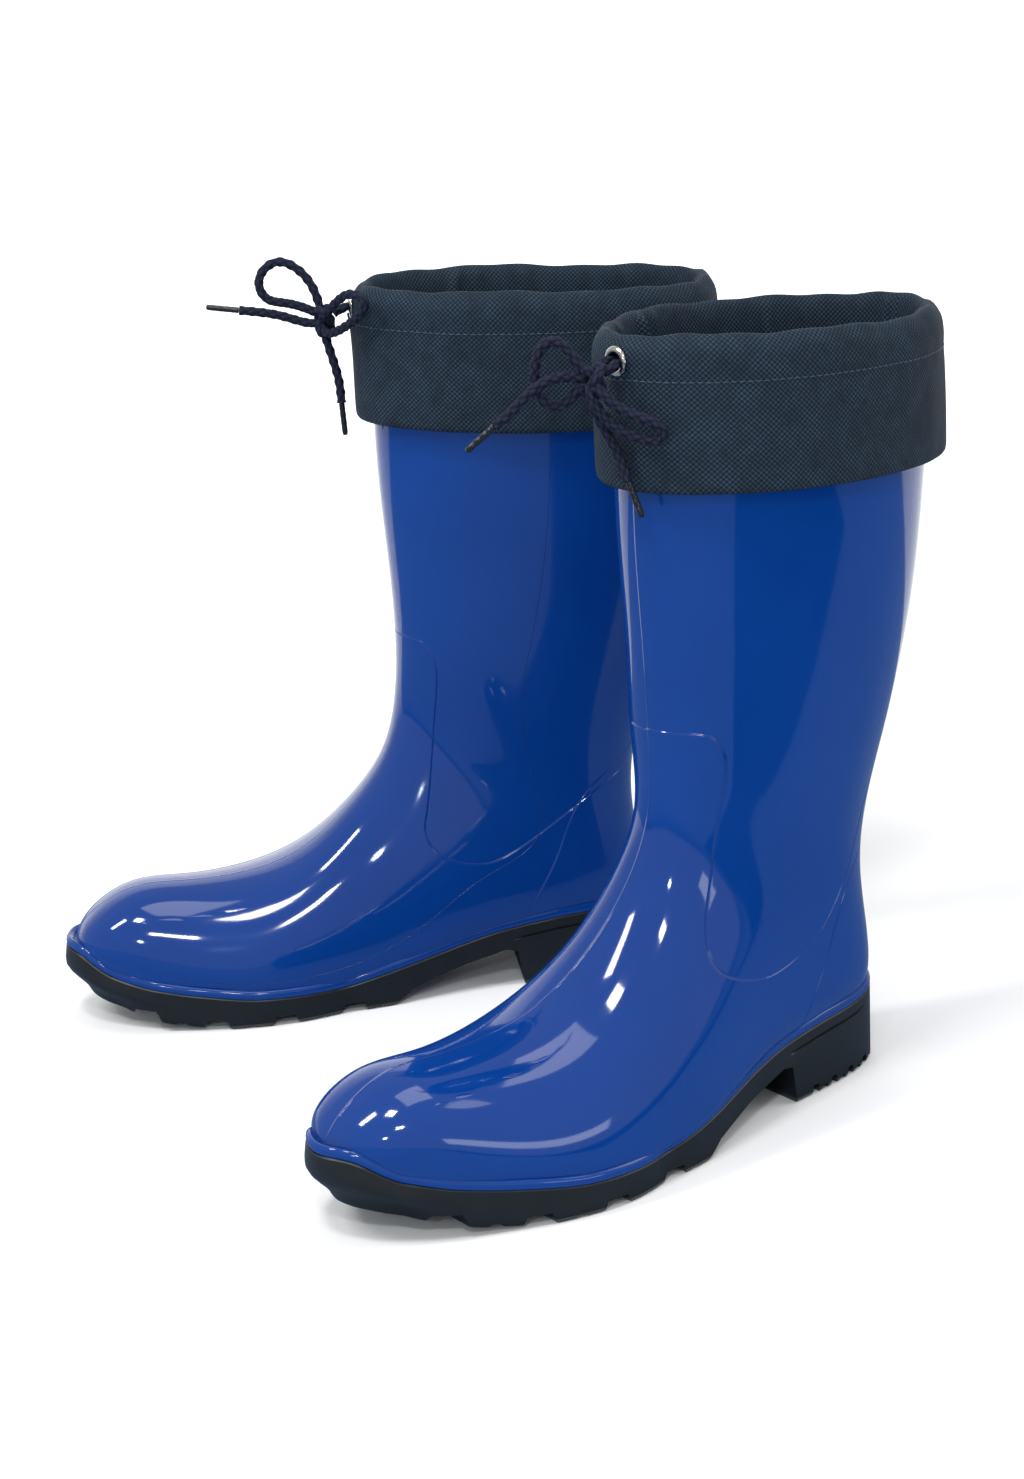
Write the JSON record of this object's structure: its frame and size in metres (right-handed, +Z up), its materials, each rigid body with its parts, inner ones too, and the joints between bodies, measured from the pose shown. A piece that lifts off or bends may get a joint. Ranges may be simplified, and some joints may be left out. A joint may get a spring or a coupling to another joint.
{
  "type": "deck boots",
  "caption": "Pair of tall glossy rubber deck boots with cleated soles, raised heels and fabric drawstring collars, standing loose with their toes turned slightly out.",
  "frame": {"origin": "on the floor, at the centre of the pair's bounding box without the drawstrings", "axes": "+Z up, toes towards -Y, left boot on the +X side"},
  "size_m": [0.3392, 0.3414, 0.3544],
  "materials": {
    "blue_pvc": "glossy moulded PVC",
    "black_pvc": "satin moulded",
    "navy_cloth": "woven, coated",
    "navy_braid": "braided",
    "aglet": "smooth plastic tip",
    "nickel": "polished nickel",
    "knit_lining": "knitted",
    "insole_felt": "felt"
  },
  "bodies": {
    "left_boot": {"left_upper": "blue_pvc", "left_lining": "knit_lining", "left_outsole": "black_pvc", "left_collar_outer": "navy_cloth", "left_collar_inner": "navy_cloth", "left_eyelet": "nickel", "left_eyelet_washer": "nickel", "left_drawstring_channel": "navy_braid"},
    "left_insole": {"left_insole": "insole_felt"},
    "left_drawstring": {"left_drawstring_knot": "navy_braid", "left_drawstring_strand_a": "navy_braid", "left_drawstring_strand_b": "navy_braid", "left_drawstring_loop_a": "navy_braid", "left_drawstring_loop_b": "navy_braid", "left_drawstring_tail_a": "navy_braid", "left_drawstring_tail_b": "navy_braid", "left_aglet_a": "aglet", "left_aglet_b": "aglet"},
    "right_boot": {"right_upper": "blue_pvc", "right_lining": "knit_lining", "right_outsole": "black_pvc", "right_collar_outer": "navy_cloth", "right_collar_inner": "navy_cloth", "right_eyelet": "nickel", "right_eyelet_washer": "nickel", "right_drawstring_channel": "navy_braid"},
    "right_insole": {"right_insole": "insole_felt"},
    "right_drawstring": {"right_drawstring_knot": "navy_braid", "right_drawstring_strand_a": "navy_braid", "right_drawstring_strand_b": "navy_braid", "right_drawstring_loop_a": "navy_braid", "right_drawstring_loop_b": "navy_braid", "right_drawstring_tail_a": "navy_braid", "right_drawstring_tail_b": "navy_braid", "right_aglet_a": "aglet", "right_aglet_b": "aglet"}
  },
  "joints": [
    {"name": "right_boot_lift", "type": "slide", "parent": "left_boot", "child": "right_boot", "axis": [0, 0, 1], "range_m": [0, 0.45]},
    {"name": "left_insole_lift", "type": "hinge", "parent": "left_boot", "child": "left_insole", "pos_m": [0.12436, -0.12225, 0.02492], "axis": [0.9781, 0.2079, 0], "range_deg": [0, 6]},
    {"name": "left_drawstring_pull", "type": "slide", "parent": "left_boot", "child": "left_drawstring", "axis": [0.2079, -0.9781, 0], "range_m": [0, 0.02]},
    {"name": "right_insole_lift", "type": "hinge", "parent": "right_boot", "child": "right_insole", "pos_m": [-0.13354, -0.13792, 0.02492], "axis": [0.9397, -0.342, 0], "range_deg": [0, 6]},
    {"name": "right_drawstring_pull", "type": "slide", "parent": "right_boot", "child": "right_drawstring", "axis": [-0.342, -0.9397, 0], "range_m": [0, 0.02]}
  ]
}
